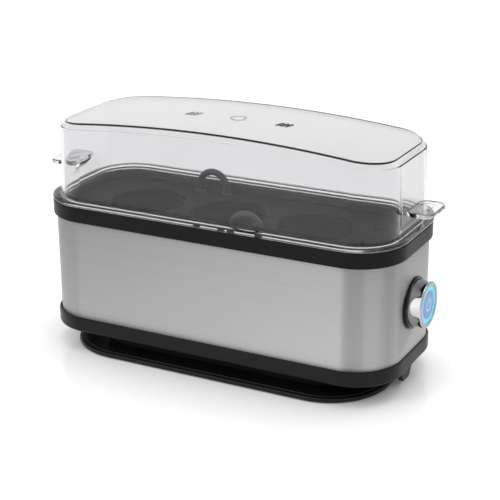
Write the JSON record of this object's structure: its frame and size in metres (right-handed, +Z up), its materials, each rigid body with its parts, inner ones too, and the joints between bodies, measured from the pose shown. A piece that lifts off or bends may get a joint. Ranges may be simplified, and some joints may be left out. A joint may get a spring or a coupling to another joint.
{
  "type": "egg cooker",
  "caption": "Compact steam egg cooker with a steel-sleeved base, clear crowned lid, lift-out egg tray and a lit push button at one end.",
  "frame": {"origin": "bottom centre of the body, on the surface it stands on", "axes": "+X along the body towards the button end, -Y towards the front, +Z up"},
  "size_m": [0.225, 0.0866, 0.1309],
  "materials": {
    "black_plastic": "satin moulded black plastic",
    "rubber": "matt black rubber",
    "screw_steel": "zinc-plated steel",
    "brushed_sleeve": "stainless steel brushed along its length",
    "silicone": "dark silicone",
    "coated_pan": "aluminium with a dark non-stick coating",
    "element_metal": "heat-darkened steel tube",
    "sheet_metal": "plain sheet metal",
    "dark_phenolic": "dark phenolic moulding",
    "ceramic": "off-white ceramic",
    "white_plastic": "off-white moulded plastic",
    "circuit_board": "green solder mask",
    "blue_plastic": "blue moulded plastic",
    "light_cyan": "translucent plastic, lit cyan from behind",
    "lens_violet": "translucent blue-violet lens",
    "wire_brown": "brown wire insulation",
    "wire_white": "white silicone wire insulation",
    "chrome": "polished chrome plating",
    "tray_plastic": "dark grey satin plastic",
    "handle_plastic": "slate grey plastic",
    "clear_plastic": "clear polished plastic"
  },
  "bodies": {
    "base": {"foot_plate": "black_plastic", "rubber_feet": "rubber", "foot_screws": "screw_steel", "spool_drum": "black_plastic", "cord_gland": "rubber", "cord_clips": "black_plastic", "base_shell": "black_plastic", "tie_posts": "black_plastic", "tie_screws": "screw_steel", "sleeve": "brushed_sleeve", "top_rim": "black_plastic", "pan_seal": "silicone", "water_pan": "coated_pan", "pan_studs": "screw_steel", "heating_element": "element_metal", "element_clamps": "sheet_metal", "clamp_nuts": "screw_steel", "heat_shield": "sheet_metal", "shield_nuts": "screw_steel", "thermostat": "dark_phenolic", "thermal_fuse": "ceramic", "terminal_block": "white_plastic", "board_bracket": "black_plastic", "bracket_screws": "screw_steel", "control_board": "circuit_board", "power_relay": "blue_plastic", "buzzer": "dark_phenolic", "leds": "light_cyan", "push_switch": "dark_phenolic", "mains_wires": "wire_brown", "heater_wires": "wire_white", "sensor_wires": "wire_white", "button_bezel": "black_plastic"},
    "lid": {"lid": "clear_plastic"},
    "egg_tray": {"tray_plate": "tray_plastic", "tray_handles": "handle_plastic"},
    "button": {"button_cap": "chrome", "button_stem": "white_plastic", "light_ring": "light_cyan", "button_lens": "lens_violet", "power_symbol": "light_cyan"}
  },
  "joints": [
    {"name": "lid_lift", "type": "slide", "parent": "base", "child": "lid", "axis": [0, 0, 1], "range_m": [0, 0.1]},
    {"name": "tray_lift", "type": "slide", "parent": "base", "child": "egg_tray", "axis": [0, 0, 1], "range_m": [0, 0.033]},
    {"name": "button_press", "type": "slide", "parent": "base", "child": "button", "axis": [-1, 0, 0], "range_m": [0, 0.002], "stiffness_N_per_m": 500, "springref_m": -0.003}
  ]
}
